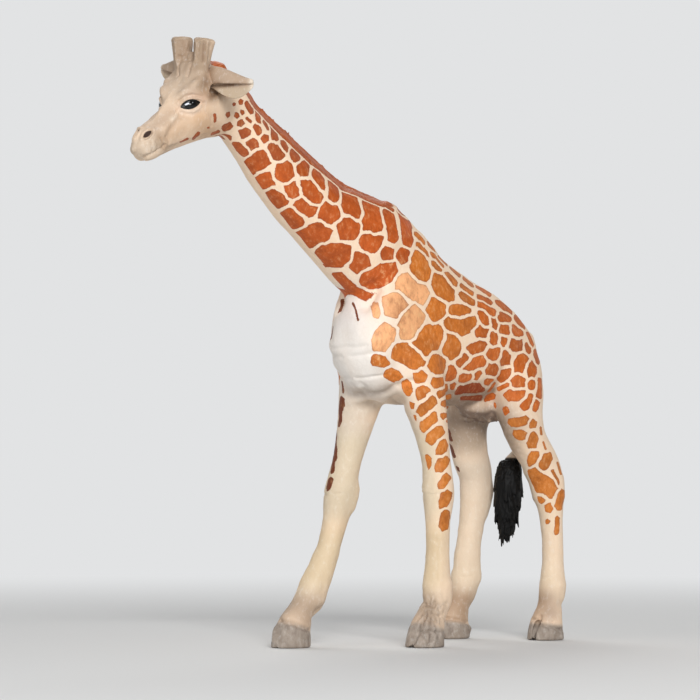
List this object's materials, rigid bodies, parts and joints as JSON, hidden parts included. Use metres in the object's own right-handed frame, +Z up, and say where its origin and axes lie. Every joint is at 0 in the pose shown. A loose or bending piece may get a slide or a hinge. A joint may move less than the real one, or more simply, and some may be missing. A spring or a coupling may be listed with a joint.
{
  "type": "toy giraffe figure",
  "caption": "Walking giraffe figure of painted PVC with a long raised neck, horn stubs, cupped ears and a tufted tail, standing on flat hoof soles.",
  "frame": {"origin": "on the floor, at the middle of the figure's length and width", "axes": "+X to the tail (the face points to -X), +Y to the figure's right side, +Z up"},
  "size_m": [0.125, 0.0287, 0.13],
  "materials": {
    "pvc_patched": "cream PVC, hand painted with orange-brown patches, satin",
    "pvc_face": "beige satin paint with brown shading",
    "pvc_leg": "cream satin paint that ends in grey-taupe hooves",
    "pvc_tuft": "black gloss paint on the tuft"
  },
  "bodies": {
    "root": {"torso": "pvc_patched", "neck": "pvc_patched", "head": "pvc_face", "ear_left": "pvc_face", "ear_right": "pvc_face", "ossicone_left": "pvc_face", "ossicone_right": "pvc_face", "leg_front_left": "pvc_leg", "leg_front_right": "pvc_leg", "leg_hind_left": "pvc_leg", "leg_hind_right": "pvc_leg", "tail": "pvc_tuft"}
  },
  "joints": []
}
